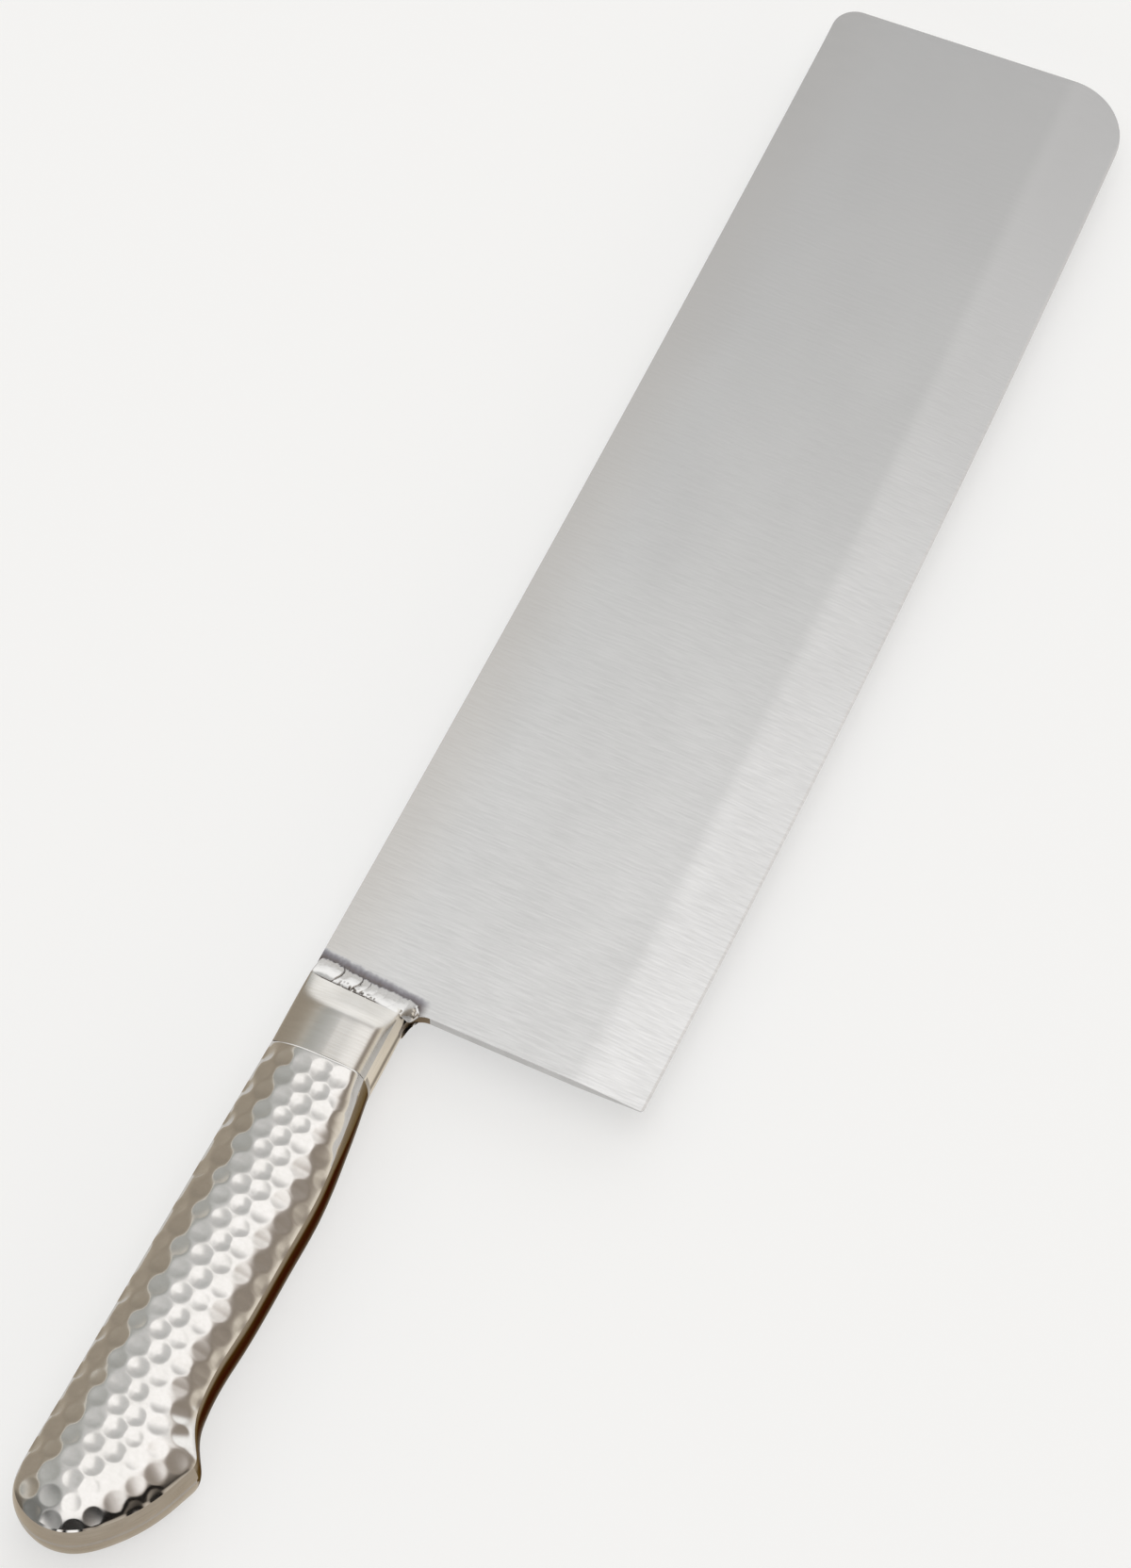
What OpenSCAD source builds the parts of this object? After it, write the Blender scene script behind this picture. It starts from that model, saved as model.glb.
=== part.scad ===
/* [Blade] */
// Length of the blade from the handle weld to its front end
blade_len = 246; // [200:0.5:280]
// Height of the blade from the spine to the lowest point of the edge
blade_height = 69.5; // [55:0.5:85]
// Thickness of the blade above the bevel
blade_thick = 2.4; // [1.8:0.1:3.2]
// Height of the ground bevel above the cutting edge
bevel_height = 13; // [8:0.5:20]
// Thickness that the grinding leaves along the cutting edge
edge_thick = 0.3; // [0.2:0.05:0.6]
// Radius of the long curve of the cutting edge
edge_radius = 4400; // [3000:100:8000]
// Distance from the weld line to the lowest point of the edge
edge_low_x = 45; // [20:1:90]
// Depth of the long hollow along the spine
spine_hollow = 0.8; // [0:0.1:2]
// Distance that the top of the front end lies behind its foot
front_lean = 4.2; // [1:0.1:8]
// Radius of the front corner at the spine
spine_corner_r = 5; // [2:0.5:10]
// Radius of the front corner at the edge
edge_corner_r = 13; // [5:0.5:18]
// Radius at the point of the heel
heel_r = 0.8; // [0.4:0.1:2]
// Radius of the hollow where the heel line meets the neck
choil_r = 4; // [2:0.5:6]
// Distance of the heel line behind the weld line
heel_back = 4.8; // [4:0.1:6]
// Length of the stub tang inside the bolster
tang_len = 7; // [4:0.5:9]
// Height of the stub tang
tang_height = 12; // [6:0.5:14]
// Depth that both faces of the neck are ground down for the welds
neck_relief = 0.1; // [0.05:0.05:0.3]
// Distance that the ground neck shows in front of the welds
neck_margin = 0.3; // [0.1:0.1:1]

/* [Bolster] */
// Distance from the weld line to the joint between bolster and handle shells
joint_back = 22.3; // [20:0.1:30]
// Distance from the weld line to the front face of the bolster
nose_back = 7; // [6.5:0.1:8]
// Thickness of the front face of the bolster
nose_thick = 5.4; // [4.4:0.1:7]
// Length of the slope from the bolster's face down to its front
shoulder_len = 6.2; // [4:0.1:9]
// Depth of the bolster and neck from back to belly
neck_depth = 20.6; // [18:0.1:23]
// Depth of the slot that takes the whole height of the blade's neck
slot_depth = 3; // [2:0.5:4]
// Height that the hammered shells stand above the bolster's face
shell_step = 0.3; // [0.1:0.05:0.6]
// Length of the spigot that the shells slide over
spigot_len = 6; // [3:0.5:12]
// Clearance round the tang in its slot
tang_fit = 0.05; // [0.02:0.01:0.2]
// Clearance between the spigot and the inside of the shells
spigot_fit = 0.25; // [0.2:0.05:0.5]

/* [Handle shells] */
// Length of the handle from the weld line to the end of the butt
handle_len = 129.1; // [110:0.1:150]
// Depth of the grip at its middle
handle_depth = 23.3; // [20:0.1:28]
// Thickness of the handle over both crowned faces
handle_thick = 17.6; // [15:0.1:22]
// Thickness of the ground rim between the two creases
rim_thick = 11; // [8:0.1:13]
// Distance that the rim bulges out between the creases
rim_bulge = 1.1; // [0.4:0.1:2]
// Thickness of the pressed sheet
wall = 1.2; // [0.8:0.1:1.6]
// Distance from the butt end to the end of the crest line
crest_back = 16; // [12:0.5:20]
// Power of the curve of the crowned face, flatter on top when larger
crown_power = 2.5; // [2:0.1:4]

/* [Welds] */
// Depth of the seam weld in the groove between the shells
seam_depth = 0.8; // [0.4:0.1:1]
// Width of the seam weld at the surface
seam_width = 1.2; // [0.6:0.1:2]
// Width of the two welds between the shells' rims and the bolster
joint_weld_width = 1; // [0.6:0.1:2]
// Depth of these two welds
joint_weld_depth = 0.8; // [0.4:0.1:1]
// Distance of the bead's front edge behind the weld line
toe_back = 2.4; // [1.5:0.1:3]
// Distance that the bead climbs up the bolster's shoulder
bead_climb = 0.9; // [0.4:0.1:1.6]
// Height of the bead above its straight chord
bead_crown = 0.8; // [0.4:0.1:1.4]
// Height of the ripples along the bead
ripple = 0.25; // [0:0.05:0.5]
// Number of ripples along the bead
ripple_count = 6; // [3:1:10]
// Distance of the bead's start below the spine
bead_inset = 0.4; // [0.2:0.1:1]
// Length of the tail that runs past the bolster onto the neck
bead_tail = 1.5; // [1:0.1:2]

/* [Hidden] */

// Distance that cutters run past what they cut
overrun = 1;
// Numbers of straight steps in curves and along swept shapes
arc_steps = 10;
edge_steps = 16;
spine_steps = 12;
bevel_steps = 14;
curve_steps = 4;
bead_steps = 30;
bead_points = 6;
// Share of the half width that stays flat along the crest
crest_share = 0.12;
// Places across the rim and the crowned face, from the middle of the rim to the crest
rim_shares = [0, 0.36, 0.7, 1];
face_shares = [0.93, 0.84, 0.72, 0.57, 0.4, 0.22, 0];
// Belly, butt and back of the handle as shares of its length and of its depth
handle_shares = [[0.263, 0.95], [0.372, 1.009], [0.48, 1], [0.589, 0.985], [0.682, 0.952],
    [0.744, 0.972], [0.772, 1.02], [0.796, 1.094], [0.818, 1.163], [0.837, 1.138],
    [0.904, 0.978], [0.954, 0.773], [0.99, 0.528], [1, 0.283], [0.988, 0.056],
    [0.96, -0.094], [0.918, -0.129], [0.798, -0.107], [0.503, -0.06]];
// Depth of the crest line's rear end as a share of the handle's depth
crest_drop_share = 0.485;
// Size of the bead's section at its start and along its tail
bead_start_share = 0.6;
bead_tail_shares = [0.75, 0.35];

blade_half = blade_thick / 2;
neck_half = blade_half - neck_relief;
edge_half = edge_thick / 2;
nose_half = nose_thick / 2;
handle_half = handle_thick / 2;
rim_half = rim_thick / 2;
bolster_half = handle_half - shell_step;
joint_x = -joint_back;
nose_x = -nose_back;
seat_x = nose_x - slot_depth;
tang_x = seat_x - tang_len;
shoulder_x = nose_x - shoulder_len;
tang_low = (neck_depth + tang_height) / 2;
tang_high = (neck_depth - tang_height) / 2;
crest_start = [joint_x, -neck_depth / 2];
crest_end = [crest_back - handle_len, -handle_depth * crest_drop_share];
front_top = [blade_len - front_lean, 0];
front_foot = [blade_len, edge_y(blade_len)];
edge_from = blade_len - 2 * edge_corner_r;
edge_to = heel_r - heel_back + heel_r;
blade_pts = blade_outline();
handle_pts = smooth(concat([[joint_x, -neck_depth]],
    [for (s = handle_shares) [-handle_len * s.x, -handle_depth * s.y]], [[joint_x, 0]]));
rays = len(handle_pts);

// Place of the whole knife: on its side, centred on the origin and resting on the handle's crown
x_middle = (max([for (p = blade_pts) p.x]) + min([for (p = handle_pts) p.x])) / 2;
y_middle = (min([for (p = blade_pts) p.y]) + max([for (p = handle_pts) p.y])) / 2;

function unit(v) = v / norm(v);
function mix(a, b, s) = a + (b - a) * s;
function edge_y(x) = edge_radius - blade_height - sqrt(pow(edge_radius, 2) - pow(x - edge_low_x, 2));

// Arc of radius r that rounds corner b between the lines towards a and c
function rounded(a, b, c, r) = let (
        u = unit(a - b),
        v = unit(c - b),
        half = acos(u * v) / 2,
        centre = b + unit(u + v) * r / sin(half),
        from = b + u * r / tan(half) - centre,
        to = b + v * r / tan(half) - centre,
        start = atan2(from.y, from.x),
        turn = (atan2(to.y, to.x) - start + 540) % 360 - 180
    ) [for (i = [0:arc_steps]) let (w = start + turn * i / arc_steps) centre + r * [cos(w), sin(w)]];

function spine_y(s) = -spine_hollow * 4 * s * (1 - s);
function blade_outline() = concat(
    [for (i = [0:spine_steps - 1]) [front_top.x * i / spine_steps, spine_y(i / spine_steps)]],
    rounded([0, 0], front_top, front_foot, spine_corner_r),
    rounded(front_top, front_foot, [edge_from, edge_y(edge_from)], edge_corner_r),
    [for (i = [0:edge_steps]) let (x = mix(edge_from, edge_to, i / edge_steps)) [x, edge_y(x)]],
    rounded([edge_to, edge_y(edge_to)], [-heel_back, edge_y(-heel_back)], [-heel_back, -neck_depth], heel_r),
    [for (i = [0:arc_steps]) let (w = 90 * i / arc_steps)
        [choil_r * cos(w) - heel_back - choil_r, choil_r * sin(w) - neck_depth - choil_r]],
    [[seat_x, -neck_depth], [seat_x, -tang_low], [tang_x, -tang_low], [tang_x, -tang_high],
        [seat_x, -tang_high], [seat_x, 0]]);

// Smooth curve through points, whose direction at each follows its two neighbours
function along(p, i) = unit(p[min(i + 1, len(p) - 1)] - p[max(i - 1, 0)]);
function smooth(p) = concat([for (i = [0:len(p) - 2], k = [0:curve_steps - 1]) let (
        s = k / curve_steps,
        chord = norm(p[i + 1] - p[i])
    ) p[i] * (1 + 2 * s) * pow(1 - s, 2) + p[i + 1] * (3 - 2 * s) * pow(s, 2)
        + along(p, i) * chord * s * pow(1 - s, 2) - along(p, i + 1) * chord * (1 - s) * pow(s, 2)],
    [p[len(p) - 1]]);

// Half section from the middle of the rim to the crest, as distances from the crest and heights
function inset(z) = rim_bulge * pow(z / rim_half, 2);
function half_section(reach, rim, top) = concat(
    [for (s = rim_shares) [reach - rim_bulge * pow(s, 2), rim * s]],
    [for (s = face_shares) [(reach - rim_bulge) * mix(crest_share, 1, s),
        mix(top, rim, pow(s, crown_power))]]);

// Whole section of the bolster as seen from the blade, drawn in by a margin
function bolster_section(margin, rim, top) = let (
        half = half_section(neck_depth / 2 - margin, rim, top),
        last = len(half) - 1
    ) concat(
        [for (p = half) [p.x + crest_start.y, p.y]],
        [for (i = [last:-1:0]) [crest_start.y - half[i].x, half[i].y]],
        [for (i = [1:last]) [crest_start.y - half[i].x, -half[i].y]],
        [for (i = [last:-1:1]) [half[i].x + crest_start.y, -half[i].y]]);

// Point of the crest line that belongs to a point of the handle's outline, and the way out from it
function crest(p) = mix(crest_start, crest_end,
    max(0, min(1, (p.x - crest_start.x) / (crest_end.x - crest_start.x))));
function out_point(p, d, z) = let (q = crest(p) + unit(p - crest(p)) * d) [q.x, q.y, z];
function reach(p) = norm(p - crest(p));

// Faces of a solid swept through rings of points, closed by its first and last ring
function sweep_faces(rings, points) = concat(
    [[for (j = [0:points - 1]) j]],
    [[for (j = [points - 1:-1:0]) (rings - 1) * points + j]],
    [for (i = [0:rings - 2], j = [0:points - 1]) let (k = (j + 1) % points, a = i * points, b = a + points)
        each [[a + j, b + j, b + k], [a + j, b + k, a + k]]]);

// Section of the bead between blade and bolster at height y and size share k
function shoulder_z(x) = mix(nose_half, bolster_half, (nose_x - x) / shoulder_len);
function bead_section(y, k, turn) = let (
        toe = [-toe_back - ripple * (1 + sin(turn * 2)), neck_half],
        heel = [nose_x - bead_climb, shoulder_z(nose_x - bead_climb)],
        out = unit([toe.y - heel.y, heel.x - toe.x]) * -bead_crown,
        middle = (toe.x + nose_x) / 2
    ) [for (p = concat(
        [for (i = [0:bead_points]) let (w = i / bead_points)
            mix(toe, heel, w) + (out + unit(out) * ripple * cos(turn)) * 4 * w * (1 - w)],
        [[nose_x, nose_half], [nose_x, neck_half]]))
        [mix(middle, p.x, k), y, mix(neck_half, p.y, k)]];

module bevel_cutter() {
    slope = (blade_half - edge_half) / bevel_height;
    sections = [for (i = [0:bevel_steps])
        let (x = mix(-heel_back - overrun, blade_len + overrun, i / bevel_steps), y = edge_y(x))
            each [[x, y - overrun, edge_half - overrun * slope], [x, y + bevel_height, blade_half],
                [x, y + bevel_height, blade_half + overrun], [x, y - overrun, blade_half + overrun]]];
    polyhedron(sections, sweep_faces(bevel_steps + 1, 4), convexity = 4);
}

module neck_cutter() {
    translate([tang_x - overrun, -neck_depth - choil_r, neck_half])
        cube([neck_margin - toe_back - tang_x + overrun, neck_depth + choil_r + overrun,
            neck_relief + overrun]);
}

module blade_solid() {
    difference() {
        translate([0, 0, -blade_half])
            linear_extrude(blade_thick)
                polygon(blade_pts);
        for (side = [0, 1])
            mirror([0, 0, side]) {
                bevel_cutter();
                neck_cutter();
            }
    }
}

module across(from, to) {
    translate([from, 0, 0])
        rotate([90, 0, 90])
            linear_extrude(to - from)
                children();
}

module joint_weld_solids() {
    across(joint_x, joint_x + joint_weld_width)
        intersection() {
            difference() {
                polygon(bolster_section(0, rim_half, bolster_half));
                polygon(bolster_section(joint_weld_depth, rim_half, bolster_half));
            }
            translate([-neck_depth - overrun, joint_weld_depth - rim_half])
                square([neck_depth + 2 * overrun, rim_thick - 2 * joint_weld_depth]);
        }
}

module bolster_solid() {
    inner = wall + spigot_fit;
    difference() {
        union() {
            intersection() {
                across(joint_x, nose_x)
                    polygon(bolster_section(0, rim_half, bolster_half));
                translate([0, overrun, 0])
                    rotate([90, 0, 0])
                        linear_extrude(neck_depth + 2 * overrun)
                            polygon([[joint_x - overrun, -bolster_half], [shoulder_x, -bolster_half],
                                [nose_x, -nose_half], [nose_x, nose_half],
                                [shoulder_x, bolster_half], [joint_x - overrun, bolster_half]]);
            }
            across(joint_x - spigot_len, joint_x)
                polygon(bolster_section(inner, rim_half - inner / 2, handle_half - inner));
        }
        translate([seat_x - tang_fit, -neck_depth - overrun, -neck_half - tang_fit])
            cube([slot_depth + tang_fit + overrun, neck_depth + 2 * overrun, 2 * (neck_half + tang_fit)]);
        translate([tang_x - tang_fit, -tang_low - tang_fit, -neck_half - tang_fit])
            cube([tang_len + slot_depth, tang_height + 2 * tang_fit, 2 * (neck_half + tang_fit)]);
        joint_weld_solids();
    }
}

// One pressed half of the handle, with the groove for the seam weld along its rim
module shell_solid() {
    outer = [for (p = handle_pts) half_section(reach(p), rim_half, handle_half)];
    inner = [for (p = handle_pts) half_section(reach(p) - wall, rim_half - wall / 2, handle_half - wall)];
    rings = len(outer[0]);
    groove = [for (j = [0:rings]) j == 0 ? 0 : j - 1];
    outer_pts = [for (j = [0:rings], i = [0:rays - 1]) let (h = outer[i][groove[j]])
        j == 0 ? out_point(handle_pts[i], reach(handle_pts[i]) - seam_depth, 0)
        : j == 1 ? out_point(handle_pts[i], reach(handle_pts[i]) - inset(seam_width / 2), seam_width / 2)
        : out_point(handle_pts[i], h.x, h.y)];
    inner_pts = [for (j = [0:rings - 1], i = [0:rays - 1])
        out_point(handle_pts[i], inner[i][j].x, inner[i][j].y)];
    base = len(outer_pts);
    skin = [for (j = [0:rings - 1], i = [0:rays - 2]) let (a = j * rays + i, b = a + rays)
        each [[a, a + 1, b + 1], [a, b + 1, b]]];
    lining = [for (j = [0:rings - 2], i = [0:rays - 2]) let (a = base + j * rays + i, b = a + rays)
        each [[a, b + 1, a + 1], [a, b, b + 1]]];
    rim = [for (i = [0:rays - 2]) each [[i, base + i + 1, i + 1], [i, base + i, base + i + 1]]];
    outer_cap = [for (i = [0:rays - 1]) rings * rays + i];
    inner_cap = [for (i = [rays - 1:-1:0]) base + (rings - 1) * rays + i];
    front = [for (j = [0:rings]) let (
            low = j * rays,
            high = low + rays - 1,
            low_in = base + groove[j] * rays,
            high_in = low_in + rays - 1
        ) each j == rings ? [[low, high, high_in], [low, high_in, low_in]]
            : j == 0 ? [[low, low + rays, low_in], [high + rays, high, high_in]]
            : [[low, low + rays, low_in + rays], [low, low_in + rays, low_in],
                [high, high_in + rays, high + rays], [high, high_in, high_in + rays]]];
    polyhedron(concat(outer_pts, inner_pts), concat(skin, lining, rim, front, [outer_cap, inner_cap]),
        convexity = 8);
}

module seam_weld_solid() {
    half = seam_width / 2;
    sections = [for (p = handle_pts)
        each [out_point(p, reach(p) - seam_depth, 0), out_point(p, reach(p) - inset(half), -half),
            out_point(p, reach(p), 0), out_point(p, reach(p) - inset(half), half)]];
    polyhedron(sections, sweep_faces(rays, 4), convexity = 8);
}

module blade_weld_solid() {
    tail = len(bead_tail_shares);
    low = -neck_depth + rim_bulge / 2;
    sections = concat(
        [each bead_section(-bead_inset, bead_start_share, 0)],
        [for (i = [0:bead_steps]) each bead_section(mix(-2 * bead_inset, low, i / bead_steps), 1,
            360 * ripple_count * i / bead_steps)],
        [for (i = [1:tail]) each bead_section(low - bead_tail * i / tail, bead_tail_shares[i - 1], 0)]);
    polyhedron(sections, sweep_faces(bead_steps + tail + 2, bead_points + 3), convexity = 8);
}

module placed() {
    translate([-x_middle, -y_middle, handle_half])
        children();
}

module blade() {
    color("silver")
        placed()
            blade_solid();
}

module bolster() {
    color("darkkhaki")
        placed()
            bolster_solid();
}

module handle_shell_right() {
    color("gainsboro")
        placed()
            shell_solid();
}

module handle_shell_left() {
    color("lightgray")
        placed()
            mirror([0, 0, 1])
                shell_solid();
}

module seam_weld() {
    color("tan")
        placed()
            seam_weld_solid();
}

module joint_welds() {
    color("rosybrown")
        placed()
            joint_weld_solids();
}

module blade_weld_right() {
    color("dimgray")
        placed()
            blade_weld_solid();
}

module blade_weld_left() {
    color("slategray")
        placed()
            mirror([0, 0, 1])
                blade_weld_solid();
}

blade();
bolster();
handle_shell_right();
handle_shell_left();
seam_weld();
joint_welds();
blade_weld_right();
blade_weld_left();
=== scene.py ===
import math
import random
from functools import lru_cache

import bmesh
import bpy
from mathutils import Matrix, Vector, kdtree, noise
from mathutils.geometry import interpolate_bezier


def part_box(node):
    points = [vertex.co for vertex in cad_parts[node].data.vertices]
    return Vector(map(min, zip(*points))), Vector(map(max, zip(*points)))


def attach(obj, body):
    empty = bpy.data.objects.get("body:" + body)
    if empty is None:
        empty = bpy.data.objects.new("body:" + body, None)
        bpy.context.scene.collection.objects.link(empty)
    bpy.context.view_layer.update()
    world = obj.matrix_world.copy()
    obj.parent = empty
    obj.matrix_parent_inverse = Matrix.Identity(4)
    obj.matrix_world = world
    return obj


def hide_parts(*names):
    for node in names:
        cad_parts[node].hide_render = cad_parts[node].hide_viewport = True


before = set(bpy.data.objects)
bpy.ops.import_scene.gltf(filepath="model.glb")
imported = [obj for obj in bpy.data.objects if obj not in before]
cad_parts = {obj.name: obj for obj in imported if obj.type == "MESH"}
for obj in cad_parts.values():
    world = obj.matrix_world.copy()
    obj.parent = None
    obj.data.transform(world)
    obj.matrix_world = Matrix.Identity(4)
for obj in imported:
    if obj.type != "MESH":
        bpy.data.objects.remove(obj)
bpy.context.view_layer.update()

mm = 0.001

# The knife's own measures start where the blade's spine meets the weld, in the middle of the blade's thickness.
knife = {"handleLength": 129.1, "bladeHeight": 69.5, "halfThickness": 8.8, "bladeHalf": 1.2}
place = Vector((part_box("handle_shell_right")[0].x + knife["handleLength"] * mm,
                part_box("blade")[0].y + knife["bladeHeight"] * mm,
                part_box("handle_shell_right")[1].z - knife["halfThickness"] * mm))


def point(x, y, z):
    return place + Vector((x, y, z)) * mm


def mix(a, b, share):
    return a + (b - a) * share


def clamp(value, low=0.0, high=1.0):
    return max(low, min(high, value))


def softStep(value, start, end):
    share = clamp((value - start) / (end - start))
    return share * share * (3 - 2 * share)


def softLow(a, b, width):  # the lower of two heights, with their meeting rounded
    share = clamp(0.5 + 0.5 * (b - a) / width)
    return mix(b, a, share) - width * share * (1 - share)


def readOff(table, value):  # the value's partner in a short table of pairs, in a straight line between them
    for (a, p), (b, q) in zip(table, table[1:]):
        if value <= b:
            return mix(p, q, clamp((value - a) / (b - a)))
    return table[-1][1]


def throughPoints(points, steps):  # smooth curve through points, heading at each along its two neighbours
    points = [Vector((p[0], p[1], 0)) for p in points]
    last = len(points) - 1
    heading = [(points[min(i + 1, last)] - points[max(i - 1, 0)]).normalized() for i in range(last + 1)]
    curve = []
    for i in range(last):
        third = (points[i + 1] - points[i]).length / 3
        curve += interpolate_bezier(points[i], points[i] + heading[i] * third,
                                    points[i + 1] - heading[i + 1] * third, points[i + 1], steps + 1)[:-1]
    return curve + [points[last]]


def evenSteps(curve, step):
    points, left = [curve[0]], step
    for a, b in zip(curve, curve[1:]):
        length, done = (b - a).length, 0
        while length - done > left:
            done += left
            points.append(a.lerp(b, done / length))
            left = step
        left -= length - done
    return points + [curve[-1]]


def evened(curve, reach):  # the curve with its small changes of bend averaged out
    smooth = []
    for i, p in enumerate(curve):
        span = min(reach, i, len(curve) - 1 - i)
        near = curve[i - span:i + span + 1]
        smooth.append(sum(near, Vector((0, 0, 0))) / len(near))
    return smooth


def heightAt(curve, x, sign):  # height of the curve's upper (+1) or lower (-1) side at x
    found = [mix(a.y, b.y, (x - a.x) / (b.x - a.x)) for a, b in zip(curve, curve[1:])
             if min(a.x, b.x) <= x <= max(a.x, b.x) and a.x != b.x]
    return max(y * sign for y in found) * sign


def makeActive(obj):
    bpy.ops.object.select_all(action="DESELECT")
    bpy.context.view_layer.objects.active = obj
    obj.select_set(True)


def editStart(obj):
    makeActive(obj)
    bpy.ops.object.mode_set(mode="EDIT")
    return bmesh.from_edit_mesh(obj.data)


def editEnd():
    bpy.ops.object.mode_set(mode="OBJECT")


def pickFaces(obj, test):  # selects the faces that pass the test, in edit mode
    bm = bmesh.from_edit_mesh(obj.data)
    bpy.ops.mesh.select_all(action="DESELECT")
    bpy.ops.mesh.select_mode(type="FACE")
    for face in bm.faces:
        if test(face):
            face.select_set(True)
    bm.select_flush_mode()
    bmesh.update_edit_mesh(obj.data)


def giveFinish(obj, material, test):  # a further material, on the faces that pass the test
    obj.data.materials.append(material)
    editStart(obj)
    pickFaces(obj, test)
    obj.active_material_index = len(obj.data.materials) - 1
    bpy.ops.object.material_slot_assign()
    editEnd()


def gridSkin(name, columns, rows, where):  # a grid primitive pulled onto a form; where(i, j) gives each point in mm
    bpy.ops.mesh.primitive_grid_add(x_subdivisions=columns, y_subdivisions=rows, size=1, location=(0, 0, 0))
    obj = bpy.context.object
    obj.name = obj.data.name = name
    for v in obj.data.vertices:
        i = round((v.co.x + 0.5) * columns)
        j = round((v.co.y + 0.5) * rows)
        v.co = point(*where(i, j))
    return obj


def weldUp(obj, gap=0.004, close=True):  # joins points that meet, closes open ends, turns all faces outwards
    editStart(obj)
    bpy.ops.mesh.select_all(action="SELECT")
    bpy.ops.mesh.remove_doubles(threshold=gap * mm)
    if close:
        bpy.ops.mesh.select_all(action="DESELECT")
        bpy.ops.mesh.select_mode(type="EDGE")
        bpy.ops.mesh.select_non_manifold(extend=False, use_wire=False, use_multi_face=False,
                                         use_non_contiguous=False, use_verts=False)
        bpy.ops.mesh.edge_face_add()
        bpy.ops.mesh.select_all(action="SELECT")
    bpy.ops.mesh.normals_make_consistent(inside=False)
    editEnd()
    return obj


def applied(obj, kind, **settings):
    makeActive(obj)
    modifier = obj.modifiers.new(kind.title(), kind)
    for key, value in settings.items():
        setattr(modifier, key, value)
    bpy.ops.object.modifier_apply(modifier=modifier.name)
    return obj


def smoothShade(obj, angle):
    makeActive(obj)
    bpy.ops.object.shade_smooth_by_angle(angle=math.radians(angle))
    return obj


def mirrored(obj, name):  # a copy with its own mesh on the blade's other face
    copy = obj.copy()
    copy.data = obj.data.copy()
    copy.name = copy.data.name = name
    bpy.context.collection.objects.link(copy)
    for v in copy.data.vertices:
        v.co.z = 2 * place.z - v.co.z
    copy.data.flip_normals()
    return copy


def finishPiece(obj, node):
    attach(obj, "root")
    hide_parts(node)


def linear(hexColour):
    channels = [int(hexColour[k:k + 2], 16) / 255 for k in (1, 3, 5)]
    return [c / 12.92 if c <= 0.04045 else ((c + 0.055) / 1.055) ** 2.4 for c in channels] + [1]


def addNode(tree, kind, sockets=None, stops=(), **settings):  # a socket takes a value or another node's output
    node = tree.nodes.new("ShaderNode" + kind)
    for key, value in settings.items():
        setattr(node, key, value)
    for key, value in (sockets or {}).items():
        if isinstance(value, bpy.types.NodeSocket):
            tree.links.new(value, node.inputs[key])
        else:
            node.inputs[key].default_value = value
    for k, (position, colour) in enumerate(stops):
        elements = node.color_ramp.elements
        stop = elements[k] if k < len(elements) else elements.new(position)
        stop.position = position
        stop.color = linear(colour)
    return node


def bareMetal(name):
    material = bpy.data.materials.new(name)
    material.use_nodes = True
    tree = material.node_tree
    tree.nodes.clear()
    surface = addNode(tree, "BsdfPrincipled", {"Metallic": 1.0})
    addNode(tree, "OutputMaterial", {"Surface": surface.outputs["BSDF"]})
    return material, tree, surface


def linkSurface(tree, surface, colour, rough, relief):
    tree.links.new(colour.outputs[2], surface.inputs["Base Color"])
    tree.links.new(rough.outputs[0], surface.inputs["Roughness"])
    tree.links.new(relief.outputs["Normal"], surface.inputs["Normal"])


def grain(tree, sizes, detail=3.0, roughness=0.5):  # noise whose marks are so many mm along X, Y and Z
    where = addNode(tree, "TexCoord").outputs["Object"]
    counted = addNode(tree, "Mapping", {"Vector": where, "Location": [-p / mm / s for p, s in zip(place, sizes)],
                                        "Scale": [1 / mm / s for s in sizes]})
    return addNode(tree, "TexNoise", {"Vector": counted.outputs["Vector"], "Scale": 1.0, "Detail": detail,
                                      "Roughness": roughness}).outputs["Fac"]


noiseSpread = {"From Min": 0.35, "From Max": 0.65}  # where most of the noise lies
smoothly = {"interpolation_type": "SMOOTHSTEP"}
cloudSize, cloudShare = (9, 7, 7), 0.4  # faint unevenness of hand polishing


# ground or polished stainless: marks in mm, bump in mm
def satin(name, light, dull, roughness, marks, bump, edgeTint="#ffffff"):
    material, tree, surface = bareMetal(name)
    surface.inputs["Specular Tint"].default_value = linear(edgeTint)
    lines = grain(tree, marks, 4.0, 0.6)
    clouds = grain(tree, cloudSize, 2.0)
    both = addNode(tree, "Mix", {0: cloudShare, 2: lines, 3: clouds}).outputs[0]
    spread = addNode(tree, "MapRange", {"Value": both, **noiseSpread})
    colour = addNode(tree, "Mix", {0: spread.outputs[0], 6: linear(dull), 7: linear(light)}, data_type="RGBA")
    rough = addNode(tree, "MapRange", {"Value": both, **noiseSpread, "To Min": roughness[1], "To Max": roughness[0]})
    relief = addNode(tree, "Bump", {"Strength": 1.0, "Distance": bump * mm, "Height": lines})
    linkSurface(tree, surface, colour, rough, relief)
    return material


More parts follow.
